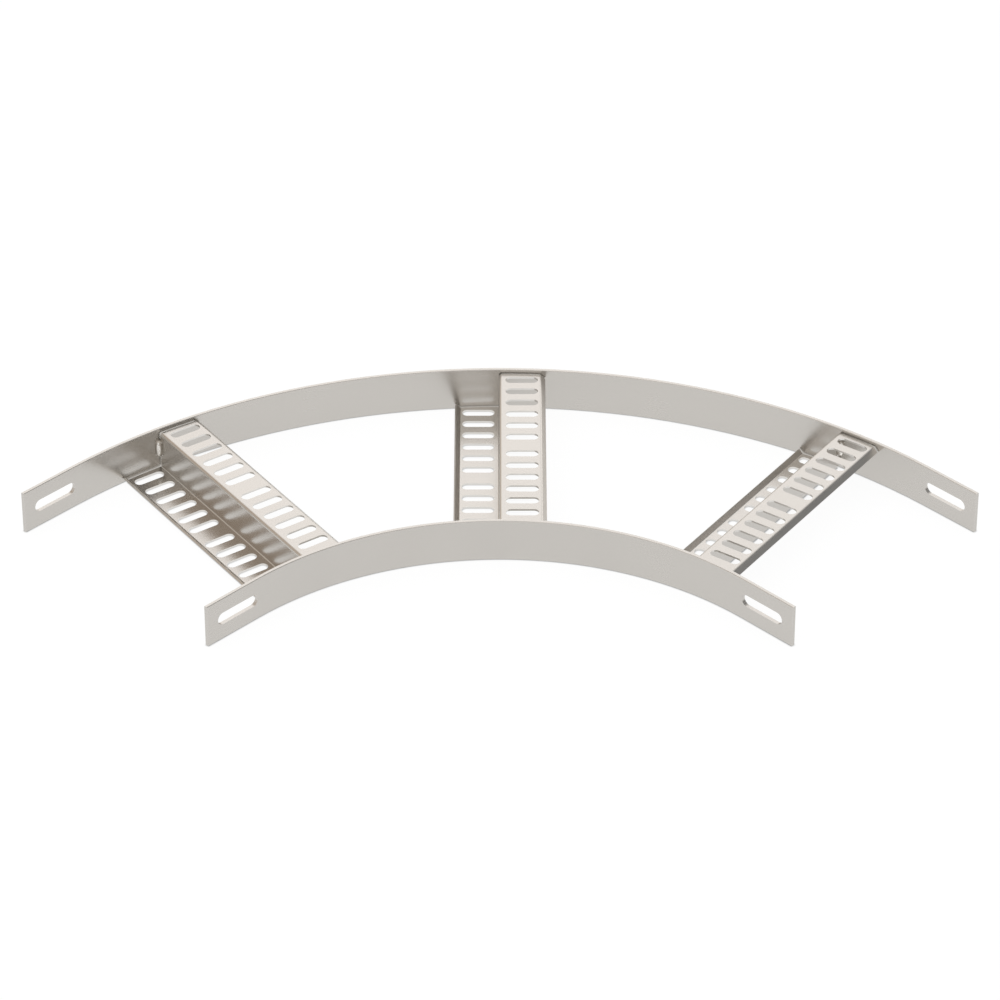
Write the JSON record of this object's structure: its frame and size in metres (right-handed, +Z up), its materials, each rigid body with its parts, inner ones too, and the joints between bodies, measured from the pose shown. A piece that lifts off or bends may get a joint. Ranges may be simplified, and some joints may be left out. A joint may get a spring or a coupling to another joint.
{
  "type": "cable tray bend",
  "caption": "Flat quarter-turn bend of ladder-type cable tray: curved flat bar side rails carry perforated Z-section rungs and have end slots for splicing.",
  "frame": {"origin": "centre of the overall box, on the plane of the rails' lower edges", "axes": "+Z up out of the ladder's plane; the first end's straight rails run along -Y, the last end's along -X; the bend's middle points along +X +Y"},
  "size_m": [0.506, 0.506, 0.035],
  "materials": {
    "flat_bar": "smooth rolled stainless flat bar, warm grey, softly glossy",
    "folded_sheet": "smooth stainless sheet, warm grey, fine rolling grain, glossy"
  },
  "bodies": {
    "root": {"inner_side_rail": "flat_bar", "outer_side_rail": "flat_bar", "rung_left": "folded_sheet", "rung_middle": "folded_sheet", "rung_right": "folded_sheet"}
  },
  "joints": []
}
